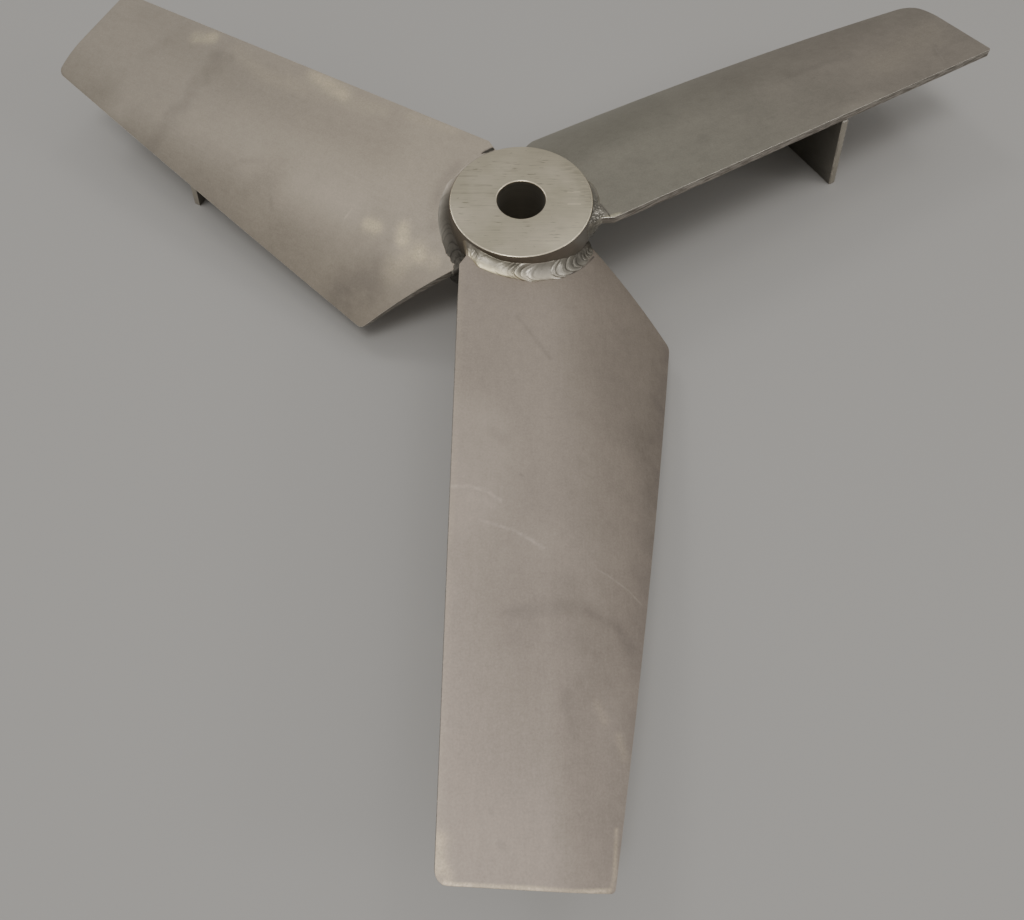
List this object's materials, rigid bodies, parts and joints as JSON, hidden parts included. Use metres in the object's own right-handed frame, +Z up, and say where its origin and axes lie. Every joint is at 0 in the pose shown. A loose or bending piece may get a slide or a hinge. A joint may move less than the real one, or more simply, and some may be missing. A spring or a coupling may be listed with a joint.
{
  "type": "three-blade mixer impeller",
  "caption": "Welded stainless mixer impeller: a bored hub, rolled pitched plate blades with square tips, and a leaning stabiliser fin under each blade.",
  "frame": {"origin": "on the axis of the hub's bore, in the plane of the hub's lower face, where the impeller stands", "axes": "+Z up along the bore, from the hub's lower face to its upper one; the front blade points along -Y, its leading edge at -X and its trailing edge at +X"},
  "size_m": [0.5784, 0.5065, 0.0698],
  "materials": {
    "machined_steel": "turned face, warm grey, fine parallel tool marks",
    "blasted_steel": "matte, bead blasted and pickled, warm grey with faint smudges and scratches",
    "fin_steel": "matte mill plate with sheared edges",
    "weld_metal": "brighter silver, rippled fillet beads"
  },
  "bodies": {
    "root": {"hub": "machined_steel", "blade_front": "blasted_steel", "blade_right": "blasted_steel", "blade_left": "blasted_steel", "fin_front": "fin_steel", "fin_right": "fin_steel", "fin_left": "fin_steel", "root_weld_top_front": "weld_metal", "root_weld_top_right": "weld_metal", "root_weld_top_left": "weld_metal", "root_weld_under_front": "weld_metal", "root_weld_under_right": "weld_metal", "root_weld_under_left": "weld_metal", "root_weld_lead_end_front": "weld_metal", "root_weld_lead_end_right": "weld_metal", "root_weld_lead_end_left": "weld_metal", "root_weld_trail_end_front": "weld_metal", "root_weld_trail_end_right": "weld_metal", "root_weld_trail_end_left": "weld_metal", "fin_weld_inner_front": "weld_metal", "fin_weld_inner_right": "weld_metal", "fin_weld_inner_left": "weld_metal", "fin_weld_outer_front": "weld_metal", "fin_weld_outer_right": "weld_metal", "fin_weld_outer_left": "weld_metal"}
  },
  "joints": []
}
